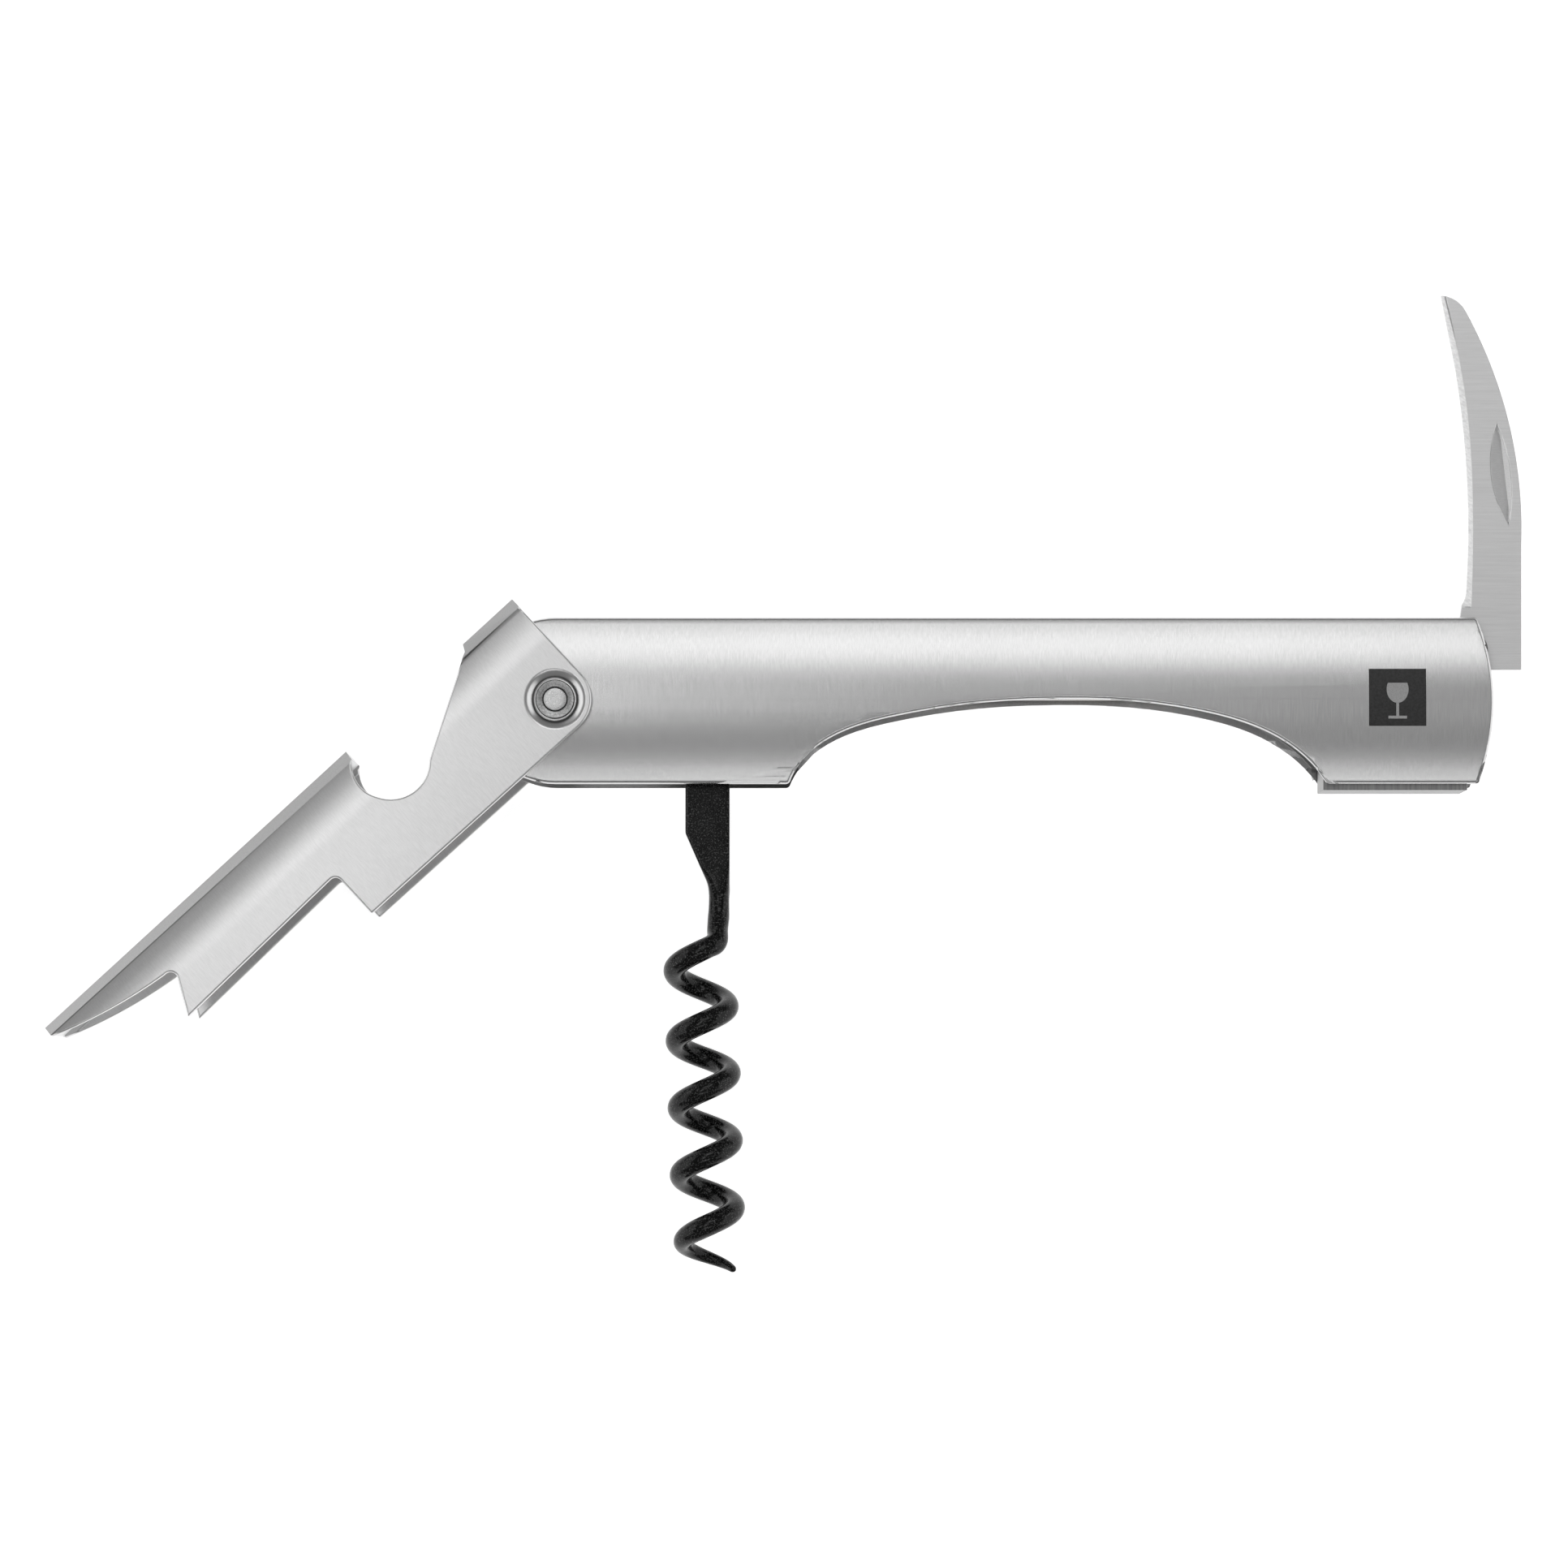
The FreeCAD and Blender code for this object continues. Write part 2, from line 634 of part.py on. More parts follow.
def build():
    pieces = {
        "front_shell": front_shell(),
        "rear_shell": rear_shell(),
        "front_liner": liner(),
        "rear_liner": mirror_thickness(liner()),
        "emblem_plate": emblem_plate(),
        "spine_bar": spine_bar(),
        "spine_rivets": rivets(spine_places()),
        "back_spring": back_spring(),
        "spring_rivets": rivets(spring_places()),
        "butt_filler": butt_filler(),
        "butt_rivets": rivets(filler_places()),
        "lever": lever(),
        "lever_washer_front": lever_washer(),
        "lever_washer_rear": mirror_thickness(lever_washer()),
        "rivet_sleeve": rivet_sleeve(),
        "rivet_pin": rivet_pin(),
        "worm": worm(),
        "worm_pin": worm_pin(),
        "worm_spacer_front": worm_spacer(),
        "worm_spacer_rear": mirror_thickness(worm_spacer()),
        "blade": blade(),
        "blade_pin": blade_pin(),
        "blade_spacer_front": blade_spacer(),
        "blade_spacer_rear": mirror_thickness(blade_spacer()),
    }
    os.makedirs("parts", exist_ok=True)
    for name, shape in pieces.items():
        place(shape).exportStep(os.path.join("parts", name + ".step"))
        box = place(shape).BoundBox
        print("%-20s solids %d valid %s vol %8.1f  x %7.2f %7.2f  y %7.2f %7.2f  z %6.2f %6.2f" % (
            name, len(shape.Solids), shape.isValid(), shape.Volume,
            box.XMin, box.XMax, box.YMin, box.YMax, box.ZMin, box.ZMax))
    whole = place(Part.makeCompound(list(pieces.values()))).BoundBox
    print("whole  x %.3f %.3f  y %.3f %.3f  z %.3f %.3f" % (
        whole.XMin, whole.XMax, whole.YMin, whole.YMax, whole.ZMin, whole.ZMax))


build()
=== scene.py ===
import math

import bpy
from mathutils import Matrix, Vector


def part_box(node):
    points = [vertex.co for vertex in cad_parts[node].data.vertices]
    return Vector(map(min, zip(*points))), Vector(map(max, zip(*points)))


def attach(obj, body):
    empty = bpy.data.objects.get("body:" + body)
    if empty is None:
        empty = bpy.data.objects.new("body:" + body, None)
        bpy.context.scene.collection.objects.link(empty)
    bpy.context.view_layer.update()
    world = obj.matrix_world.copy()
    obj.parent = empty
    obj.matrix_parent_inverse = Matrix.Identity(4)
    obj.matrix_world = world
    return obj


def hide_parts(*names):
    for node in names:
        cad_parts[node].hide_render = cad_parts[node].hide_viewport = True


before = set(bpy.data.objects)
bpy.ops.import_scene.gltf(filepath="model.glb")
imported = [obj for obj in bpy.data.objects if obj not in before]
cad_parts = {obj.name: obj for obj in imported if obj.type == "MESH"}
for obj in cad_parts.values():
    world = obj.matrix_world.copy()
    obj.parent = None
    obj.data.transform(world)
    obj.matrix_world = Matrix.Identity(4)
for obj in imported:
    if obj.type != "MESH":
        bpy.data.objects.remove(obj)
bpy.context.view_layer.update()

# ---- light table -------------------------------------------------------------------------------
# A white table under the tool, with a long strip light on each side of the handle's line and large
# soft boxes at both ends, as for a catalogue picture. The camera hangs above, a little to one side.
MM = 0.001
ALONG_X = Vector((1, 0, 0))
ALONG_Y = Vector((0, 1, 0))
WHITE = (1, 1, 1, 1)
TABLE_SIZE = 6.0
TABLE_TONE = (0.86, 0.86, 0.86, 1)
TABLE_ROUGHNESS = 0.9
TABLE_GLOW = 0.72
ROOM_GLOW = 0.20
BACKDROP_TONE = (0.9, 0.9, 0.9, 1)
LENS = 149.3
SENSOR_WIDTH = 36
NEAR_SIGHT = 0.05
FAR_SIGHT = 20
AIM = Vector((-0.425 * MM, -0.5 * MM, 14.8 * MM))
EYE = Vector((0.475 * MM, -43.9 * MM, 814.8 * MM))


def set_inputs(node, values):
    """Set some of a shader node's inputs by their names."""
    for name, value in values.items():
        node.inputs[name].default_value = value


def new_paint(name):
    """New material, with its node tree and its shader."""
    paint = bpy.data.materials.new(name)
    paint.use_nodes = True
    return paint, paint.node_tree, paint.node_tree.nodes["Principled BSDF"]


def add_object(name, data):
    """New object in the scene, made of some data."""
    thing = bpy.data.objects.new(name, data)
    bpy.context.scene.collection.objects.link(thing)
    return thing


def hang(thing, place, right, up, back):
    """Hang a camera or a light at a place, given which ways its right, top and back point."""
    turned = Matrix((right, up, back)).transposed().to_4x4()
    thing.matrix_world = Matrix.Translation(place) @ turned


def soft_box(name, towards_y, towards_x, distance, size_x, size_y, glow):
    """Rectangular light above the tool, tilted off the vertical by two angles in degrees."""
    light = bpy.data.lights.new(name, "AREA")
    light.shape = "RECTANGLE"
    light.size = size_x
    light.size_y = size_y
    light.energy = glow * math.pi * size_x * size_y
    across, along = math.radians(towards_y), math.radians(towards_x)
    way = Vector((math.sin(along), math.sin(across) * math.cos(along),
                  math.cos(across) * math.cos(along)))
    side = ALONG_Y.cross(way).normalized()
    hang(add_object(name, light), way * distance, side, way.cross(side), way)


bpy.ops.object.select_all(action="DESELECT")
camera_data = bpy.data.cameras.new("table_camera")
camera_data.lens = LENS
camera_data.sensor_width = SENSOR_WIDTH
camera_data.clip_start = NEAR_SIGHT
camera_data.clip_end = FAR_SIGHT
camera = add_object("table_camera", camera_data)
ahead = (AIM - EYE).normalized()
rightward = ahead.cross(ALONG_Y).normalized()
hang(camera, EYE, rightward, rightward.cross(ahead), -ahead)
bpy.context.scene.camera = camera
bpy.context.scene.view_settings.view_transform = "Standard"

bpy.ops.mesh.primitive_plane_add(size=TABLE_SIZE, location=(0, 0, 0))
table = bpy.context.object
table.name = "light_table"
table_paint, tree, shader = new_paint("white_table")
set_inputs(shader, {"Base Color": TABLE_TONE, "Roughness": TABLE_ROUGHNESS,
                    "Emission Color": WHITE, "Emission Strength": TABLE_GLOW})
table.data.materials.append(table_paint)

world = bpy.data.worlds.new("soft_room")
world.use_nodes = True
tree = world.node_tree
room = tree.nodes["Background"]
set_inputs(room, {"Color": WHITE, "Strength": ROOM_GLOW})
backdrop = tree.nodes.new("ShaderNodeBackground")
set_inputs(backdrop, {"Color": BACKDROP_TONE})
sight = tree.nodes.new("ShaderNodeLightPath")
choice = tree.nodes.new("ShaderNodeMixShader")
tree.links.new(sight.outputs["Is Camera Ray"], choice.inputs["Fac"])
tree.links.new(room.outputs[0], choice.inputs[1])
tree.links.new(backdrop.outputs[0], choice.inputs[2])
tree.links.new(choice.outputs[0], tree.nodes["World Output"].inputs["Surface"])
bpy.context.scene.world = world

# Each light's name, its tilts towards Y and X, its distance, its width and depth, and its glow.
for lamp in (("upper_strip", 23.5, 2, 1.6, 0.80, 0.42, 1.62),
             ("lower_strip", -24, 2, 1.6, 0.80, 0.25, 1.50),
             ("lever_patch", 4, -8.5, 1.6, 0.25, 0.40, 2.3),
             ("butt_patch", 0, 11, 1.6, 0.34, 0.30, 0.30),
             ("back_left_box", 69, -40, 1.6, 0.9, 0.9, 0.22),
             ("left_box", 0, -70, 1.7, 1.4, 2.4, 1.0),
             ("right_box", 0, 70, 1.7, 1.4, 2.4, 1.0)):
    soft_box(*lamp)


# ---- handle shells -----------------------------------------------------------------------------
# The two outer shells of the handle: stainless steel sheet pressed to a gentle crown, brushed
# across the handle, its outer edges rolled over. They are spot-welded to the liners.
SHELL_TONE = 0.68
SHELL_GLOSS = 0.27
SHELL_EDGE_ROUND = 0.38 * MM
SHELL_HALF = 10.3 * MM           # half the handle's width across its crown
SHELL_FALL = 1.25 * MM           # how far the crown falls from its top line to its long edges
SHELL_INSIDE = 5.6 * MM          # height of the inner side above the tool's middle
FLAT_INSIDE_HALF = 9.2 * MM      # half the width over which that inner side stays flat
CROWN_R = (SHELL_HALF ** 2 + SHELL_FALL ** 2) / (2 * SHELL_FALL)
CROWN_NEAR = 0.12 * MM           # a corner this close to the crown lies on it
CROWN_LINES = 24
CROSS_LINES = 32
CROSS_STEP = 4 * MM
TILE_GAP = 0.2 * MM
HAIR = 0.02 * MM
OUTER_LAYER = 1.1                # depth of a sheet's outer layer, as a share of its rounding
SEAM = 0.001 * MM                # corners closer than this are one
ROUND_SEAM = 0.004 * MM          # the same, once the edges are rounded
SAME_PLANE = math.radians(0.3)
STREAK_DETAIL = 3.0
STREAK_ROUGHNESS = 0.6
CLOUD_SCALE = 60
CLOUD_SHARE = 0.25
GRAIN_STRENGTH = 0.3


def middle(node):
    """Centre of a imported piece's box, in metres."""
    low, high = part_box(node)
    return [(a + b) / 2 for a, b in zip(low, high)]


def only(piece):
    """Make one piece the selected and active one."""
    bpy.ops.object.select_all(action="DESELECT")
    piece.select_set(True)
    bpy.context.view_layer.objects.active = piece


def open_up(piece):
    """Open one piece in edit mode, with all of it selected."""
    only(piece)
    bpy.ops.object.mode_set(mode="EDIT")
    bpy.ops.mesh.select_all(action="SELECT")


def repaint(piece, paint):
    """Give a piece one material in place of what it had."""
    piece.data.materials.clear()
    piece.data.materials.append(paint)


def work_in(piece, name, kind, **settings):
    """Add one modifier to the active piece, set it up and apply it."""
    modifier = piece.modifiers.new(name, kind)
    for key, value in settings.items():
        setattr(modifier, key, value)
    bpy.ops.object.modifier_apply(modifier=modifier.name)


def merged_copy(node, name):
    """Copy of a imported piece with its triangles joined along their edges, to be worked on."""
    piece = add_object(name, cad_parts[node].data.copy())
    open_up(piece)
    bpy.ops.mesh.remove_doubles(threshold=SEAM)
    bpy.ops.object.mode_set(mode="OBJECT")
    return piece


def round_edges(piece, edge_round, steps=4, sharp=33, spare=None):
    """Join a piece's flat faces and round its sharp edges, but not those that spare() picks out."""
    only(piece)
    bpy.ops.object.mode_set(mode="EDIT")
    bpy.ops.mesh.select_mode(type="EDGE")
    bpy.ops.mesh.select_all(action="SELECT")
    bpy.ops.mesh.dissolve_limited(angle_limit=SAME_PLANE)
    bpy.ops.mesh.select_all(action="DESELECT")
    bpy.ops.mesh.edges_select_sharp(sharpness=math.radians(sharp))
    bpy.ops.object.mode_set(mode="OBJECT")
    mesh = piece.data
    weights = mesh.attributes.new("bevel_weight_edge", "FLOAT", "EDGE")
    for edge in mesh.edges:
        spared = spare is not None and all(spare(mesh.vertices[number].co)
                                           for number in edge.vertices)
        weights.data[edge.index].value = 1.0 if edge.select and not spared else 0.0
    blank = add_object(piece.name + "_blank", mesh.copy())
    work_in(piece, "rounding", "BEVEL", width=edge_round, segments=steps, limit_method="WEIGHT",
            use_clamp_overlap=False)
    work_in(piece, "within", "SHRINKWRAP", wrap_method="NEAREST_SURFACEPOINT", wrap_mode="INSIDE",
            target=blank)
    only(blank)
    bpy.ops.object.delete()
    open_up(piece)
    bpy.ops.mesh.remove_doubles(threshold=ROUND_SEAM)
    bpy.ops.object.mode_set(mode="OBJECT")


def cut_lines(piece, start, way, step, count):
    """Cut a piece's faces by a row of planes, so that the sheet can follow a finer curve."""
    open_up(piece)
    for number in range(count):
        bpy.ops.mesh.select_all(action="SELECT")
        bpy.ops.mesh.bisect(plane_co=start + way * step * number, plane_no=way)
    bpy.ops.object.mode_set(mode="OBJECT")


def finish_sheet(piece, body, node, paint, crisp=22):
    """Smooth a piece's curves with its flats kept flat, paint it and put it in the node's place."""
    only(piece)
    bpy.ops.object.shade_smooth_by_angle(angle=math.radians(crisp))
    work_in(piece, "flats", "WEIGHTED_NORMAL", keep_sharp=True, weight=100)
    repaint(piece, paint)
    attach(piece, body)
    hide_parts(node)


def grain_group():
    """Brushed grain: fine streaks along the vector's Y, on a slow, faint cloud of unequal tone."""
    tree = bpy.data.node_groups.new("brushed_grain", "ShaderNodeTree")
    nodes, links, face = tree.nodes, tree.links, tree.interface
    face.new_socket("Vector", in_out="INPUT", socket_type="NodeSocketVector")
    for name in ("Across", "Along", "Cloud"):
        face.new_socket(name, in_out="INPUT", socket_type="NodeSocketFloat")
    for name in ("Streak", "Tone"):
        face.new_socket(name, in_out="OUTPUT", socket_type="NodeSocketFloat")
    entry = nodes.new("NodeGroupInput")
    leave = nodes.new("NodeGroupOutput")
    scale = nodes.new("ShaderNodeCombineXYZ")
    for axis, size in (("X", "Across"), ("Y", "Along"), ("Z", "Across")):
        links.new(entry.outputs[size], scale.inputs[axis])
    stretch = nodes.new("ShaderNodeVectorMath")
    stretch.operation = "MULTIPLY"
    links.new(entry.outputs["Vector"], stretch.inputs[0])
    links.new(scale.outputs[0], stretch.inputs[1])
    streak = nodes.new("ShaderNodeTexNoise")
    set_inputs(streak, {"Scale": 1.0, "Detail": STREAK_DETAIL, "Roughness": STREAK_ROUGHNESS})
    links.new(stretch.outputs[0], streak.inputs["Vector"])
    links.new(streak.outputs["Fac"], leave.inputs["Streak"])
    cloud = nodes.new("ShaderNodeTexNoise")
    links.new(entry.outputs["Vector"], cloud.inputs["Vector"])
    links.new(entry.outputs["Cloud"], cloud.inputs["Scale"])
    tone = nodes.new("ShaderNodeMix")
    set_inputs(tone, {"Factor": CLOUD_SHARE})
    links.new(streak.outputs["Fac"], tone.inputs["A"])
    links.new(cloud.outputs["Fac"], tone.inputs["B"])
    links.new(tone.outputs["Result"], leave.inputs["Tone"])
    return tree


GRAIN = grain_group()


def ranged(tree, value, low, high, middle=0.5, spread=0.2):
    """Stretch a noise value about its middle to the given low and high."""
    span = tree.nodes.new("ShaderNodeMapRange")
    set_inputs(span, {"From Min": middle - spread, "From Max": middle + spread,
                      "To Min": low, "To Max": high})
    tree.links.new(value, span.inputs["Value"])
    return span.outputs[0]


def raise_grain(tree, shader, height, strength, depth):
    """Let a noise value raise a surface by up to the given depth."""
    bump = tree.nodes.new("ShaderNodeBump")
    set_inputs(bump, {"Strength": strength, "Distance": depth})
    tree.links.new(height, bump.inputs["Height"])
    tree.links.new(bump.outputs[0], shader.inputs["Normal"])


def brushed_steel(name, tone, gloss, turn, across=9000, along=300, depth=0.004 * MM,
                  contrast=0.05):
    """Steel brushed along one direction: turn is that direction's angle from +Y, about +Z."""
    paint, tree, steel = new_paint(name)
    set_inputs(steel, {"Metallic": 1.0, "Roughness": gloss})
    where = tree.nodes.new("ShaderNodeTexCoord")
    lay = tree.nodes.new("ShaderNodeMapping")
    lay.vector_type = "TEXTURE"
    set_inputs(lay, {"Rotation": (0, 0, turn)})
    tree.links.new(where.outputs["Object"], lay.inputs["Vector"])
    grain = tree.nodes.new("ShaderNodeGroup")
    grain.node_tree = GRAIN
    set_inputs(grain, {"Across": across, "Along": along, "Cloud": CLOUD_SCALE})
    tree.links.new(lay.outputs[0], grain.inputs["Vector"])
    shade = ranged(tree, grain.outputs["Tone"], tone - contrast, tone + contrast)
    tree.links.new(shade, steel.inputs["Base Color"])
    raise_grain(tree, steel, grain.outputs["Streak"], GRAIN_STRENGTH, depth)
    return paint


SHELL_STEEL = brushed_steel("shell_brushed_steel", SHELL_TONE, SHELL_GLOSS, 0.0)
shell_low, shell_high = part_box("front_shell")
tile_low, tile_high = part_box("emblem_plate")
MID_Y = (shell_low[1] + shell_high[1]) / 2
MID_Z = middle("lever")[2]
CROWN_TOP = shell_high[2] - MID_Z
CROWN_STEP = (shell_high[1] - shell_low[1]) / CROWN_LINES


def crown_fall(y):
    """How far the crowned face lies below its top line, at one place across the handle."""
    return CROWN_R - math.sqrt(CROWN_R ** 2 - (y - MID_Y) ** 2)


def kept_crisp(place):
    """The edges of the shell's inner side and of the tile's pocket keep their corners."""
    if abs(place.z - MID_Z) < SHELL_INSIDE + HAIR:
        return True
    return all(tile_low[axis] - TILE_GAP < place[axis] < tile_high[axis] + TILE_GAP
               for axis in (0, 1))


# Each shell is laid flat, rounded and cut into strips, and then bent back to its crown.
for node in ("front_shell", "rear_shell"):
    shell = merged_copy(node, node + "_pressing")
    side = 1 if middle(node)[2] > MID_Z else -1
    for corner in shell.data.vertices:
        if CROWN_TOP - crown_fall(corner.co.y) - side * (corner.co.z - MID_Z) < CROWN_NEAR:
            corner.co.z = MID_Z + side * CROWN_TOP
    round_edges(shell, SHELL_EDGE_ROUND, spare=kept_crisp)
    cut_lines(shell, Vector((0, shell_low[1], MID_Z)), ALONG_Y, CROWN_STEP, CROWN_LINES)
    cut_lines(shell, Vector((shell_low[0], 0, MID_Z)), ALONG_X, CROSS_STEP, CROSS_LINES)
    for corner in shell.data.vertices:
        height = side * (corner.co.z - MID_Z)
        if height > CROWN_TOP - SHELL_EDGE_ROUND * OUTER_LAYER:
            height -= crown_fall(corner.co.y)
            if abs(corner.co.y - MID_Y) < FLAT_INSIDE_HALF:
                height = max(height, SHELL_INSIDE + HAIR)
            corner.co.z = MID_Z + side * height
    finish_sheet(shell, "handle", node, SHELL_STEEL)


# ---- liners, spine bar and butt filler ---------------------------------------------------------
# Flat steel liners inside the shells, held apart by the spine bar along the top and by the filler
# block at the butt, whose foot stands out below. Blanked from strip, riveted, left bright-rolled.
INNER_EDGE_ROUND = 0.1 * MM
# Painted shade: both steels are toned far darker than the shells, for the shade in and under the
# handle.
INNER_SHADED_STEEL = brushed_steel("inner_rolled_steel_painted_shade", 0.36, 0.33, math.radians(90),
                            across=5000, along=250, depth=0.006 * MM, contrast=0.07)
FOOT_SHADED_STEEL = brushed_steel("filler_milled_steel_painted_shade", 0.30, 0.36, 0.0,
                           across=4000, along=250, depth=0.010 * MM, contrast=0.09)
for node in ("front_liner", "rear_liner"):
    repaint(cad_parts[node], INNER_SHADED_STEEL)
for node, shaded_finish in (("spine_bar", INNER_SHADED_STEEL), ("butt_filler", FOOT_SHADED_STEEL)):
    piece = merged_copy(node, node + "_eased")
    round_edges(piece, INNER_EDGE_ROUND)
    finish_sheet(piece, "handle", node, shaded_finish)


# ---- back spring -------------------------------------------------------------------------------
# A leaf of blue-tempered spring steel between the liners; its nose bears on the blade's tang and
# its foot on the worm's shank. Fine-ground on its flats, with a faint straw tint from the oven.
STRAW = (0.40, 0.37, 0.31, 1)
BLUE_GREY = (0.36, 0.37, 0.40, 1)
OVEN_SCALE = 120


def speckle(tree, scale, detail=2.0):
    """Fine noise that is fixed to the piece, about the middle of 0 to 1."""
    where = tree.nodes.new("ShaderNodeTexCoord")
    noise = tree.nodes.new("ShaderNodeTexNoise")
    set_inputs(noise, {"Scale": scale, "Detail": detail})
    tree.links.new(where.outputs["Object"], noise.inputs["Vector"])
    return noise.outputs["Fac"]


SPRING_STEEL = brushed_steel("spring_tempered_steel", 0.42, 0.30, math.radians(90),
                             across=7000, along=200, contrast=0.06)
tree = SPRING_STEEL.node_tree
tint = tree.nodes.new("ShaderNodeMix")
tint.data_type = "RGBA"
set_inputs(tint, {"A": STRAW, "B": BLUE_GREY})
tree.links.new(speckle(tree, OVEN_SCALE), tint.inputs["Factor"])
tree.links.new(tint.outputs["Result"], tree.nodes["Principled BSDF"].inputs["Base Color"])
spring = merged_copy("back_spring", "back_spring_ground")
round_edges(spring, INNER_EDGE_ROUND)
finish_sheet(spring, "handle", "back_spring", SPRING_STEEL)


# ---- pins and rivets of the handle -------------------------------------------------------------
# Round stainless wire cut to length: rivets through the liners, and the pins that the worm and the
# blade turn on. Their ends are faced on a lathe, flush with the liners, under the shells.
PIN_TONE = 0.5
PIN_GLOSS = 0.3
PIT_SCALE = 5200
PIT_DETAIL = 3.0
PIT_SHARE = 0.6
RING_SHARE = 0.4
TURNED_GLOSS_SPREAD = 0.05
TURNED_STRENGTH = 0.4
TURNED_DEPTH = 0.02 * MM


def turned_steel(name, tone, gloss, centre, pitch=14000, contrast=0.05):
    """Steel faced on a lathe: fine rings about an upright axis through centre."""
    paint, tree, steel = new_paint(name)
    set_inputs(steel, {"Metallic": 1.0})
    where = tree.nodes.new("ShaderNodeTexCoord")
    lay = tree.nodes.new("ShaderNodeMapping")
    set_inputs(lay, {"Location": (-centre[0], -centre[1], 0)})
    tree.links.new(where.outputs["Object"], lay.inputs["Vector"])
    flat = tree.nodes.new("ShaderNodeVectorMath")
    flat.operation = "MULTIPLY"
    flat.inputs[1].default_value = (1, 1, 0)
    tree.links.new(lay.outputs[0], flat.inputs[0])
    reach = tree.nodes.new("ShaderNodeVectorMath")
    reach.operation = "LENGTH"
    tree.links.new(flat.outputs[0], reach.inputs[0])
    rings = tree.nodes.new("ShaderNodeTexNoise")
    rings.noise_dimensions = "1D"
    set_inputs(rings, {"Scale": pitch})
    tree.links.new(reach.outputs["Value"], rings.inputs["W"])
    pits = speckle(tree, PIT_SCALE, PIT_DETAIL)
    both = tree.nodes.new("ShaderNodeMath")
    both.operation = "ADD"
    tree.links.new(ranged(tree, rings.outputs["Fac"], 0.0, RING_SHARE), both.inputs[0])
    tree.links.new(ranged(tree, pits, 0.0, PIT_SHARE), both.inputs[1])
    shade = ranged(tree, both.outputs[0], tone - contrast, tone + contrast, spread=0.4)
    tree.links.new(shade, steel.inputs["Base Color"])
    satin = ranged(tree, pits, gloss - TURNED_GLOSS_SPREAD, gloss + TURNED_GLOSS_SPREAD)
    tree.links.new(satin, steel.inputs["Roughness"])
    raise_grain(tree, steel, both.outputs[0], TURNED_STRENGTH, TURNED_DEPTH)
    return paint


for node in ("spine_rivets", "spring_rivets", "butt_rivets", "worm_pin", "blade_pin"):
    end_steel = turned_steel(node + "_steel", PIN_TONE, PIN_GLOSS, middle(node))
    repaint(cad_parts[node], end_steel)


# ---- washers and spacers -----------------------------------------------------------------------
# Thin washers of grey acetal between the lever and the handle, and turned acetal collars that keep
# the worm and the blade in the middle of the bay. Smooth moulded polymer with a faint mottle.
ACETAL_IOR = 1.48
MOTTLE_SCALE = 1800
MOTTLE_DETAIL = 3.0
ACETAL, tree, polymer = new_paint("acetal_washer")
set_inputs(polymer, {"IOR": ACETAL_IOR})
mottle = speckle(tree, MOTTLE_SCALE, MOTTLE_DETAIL)
tree.links.new(ranged(tree, mottle, 0.07, 0.11), polymer.inputs["Base Color"])
tree.links.new(ranged(tree, mottle, 0.40, 0.50), polymer.inputs["Roughness"])
for node in ("lever_washer_front", "lever_washer_rear", "worm_spacer_front", "worm_spacer_rear",
             "blade_spacer_front", "blade_spacer_rear"):
    repaint(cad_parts[node], ACETAL)


# ---- lever -------------------------------------------------------------------------------------
# The bottle lever: one channel of stainless sheet, folded over its back with two slanted facets,
# blanked with the cap-lifter notch, the middle step and the pointed end, then satin-finished.
LEVER_EDGE_ROUND = 0.26 * MM
LEVER_TURN = math.radians(42.7)
LEVER_STEEL = brushed_steel("lever_satin_steel", 0.72, 0.28, LEVER_TURN, across=8000, along=900)
LEVER_BACKWARD = Vector((-math.sin(LEVER_TURN), math.cos(LEVER_TURN), 0))
PIVOT = Vector(middle("rivet_pin"))
FLANK_START = 6.0 * MM
FLANK_END = 11.35 * MM
FLANK_FALL = 0.5 * MM
FLANK_LINES = 10
FLANK_STEP = (FLANK_END - FLANK_START) / FLANK_LINES
FLANK_HALF = 8.1 * MM
FLANK_NEAR = 0.08 * MM           # a corner this close to the bowed flank lies on it
FACET_NEAR = 0.05 * MM


def flank_reach(place):
    """How far a place lies from the pivot towards the lever's back."""
    return (place - PIVOT).dot(LEVER_BACKWARD)


def flank_bow(reach):
    """How far the flank curves inwards at one distance from the pivot."""
    way_along = min(reach, FLANK_END) - FLANK_START
    return FLANK_FALL * way_along ** 2 / (FLANK_END - FLANK_START) ** 2


def on_facet(place):
    """The slanted facets along the lever's back keep their corners."""
    return flank_reach(place) > FLANK_END - FACET_NEAR


# The flanks are laid flat, rounded and cut into strips, and then bent back to their bow.
lever = merged_copy("lever", "lever_pressing")
for corner in lever.data.vertices:
    reach = flank_reach(corner.co)
    side = 1 if corner.co.z > PIVOT.z else -1
    if FLANK_START < reach < FLANK_END + FACET_NEAR:
        if FLANK_HALF - flank_bow(reach) - side * (corner.co.z - PIVOT.z) < FLANK_NEAR:
            corner.co.z = PIVOT.z + side * FLANK_HALF
round_edges(lever, LEVER_EDGE_ROUND, sharp=29, spare=on_facet)
cut_lines(lever, PIVOT + LEVER_BACKWARD * FLANK_START, LEVER_BACKWARD, FLANK_STEP, FLANK_LINES)
for corner in lever.data.vertices:
    reach = flank_reach(corner.co)
    side = 1 if corner.co.z > PIVOT.z else -1
    if FLANK_START < reach < FLANK_END + FACET_NEAR:
        if side * (corner.co.z - PIVOT.z) > FLANK_HALF - LEVER_EDGE_ROUND * OUTER_LAYER:
            corner.co.z -= side * flank_bow(reach)
finish_sheet(lever, "lever", "lever", LEVER_STEEL, crisp=23)
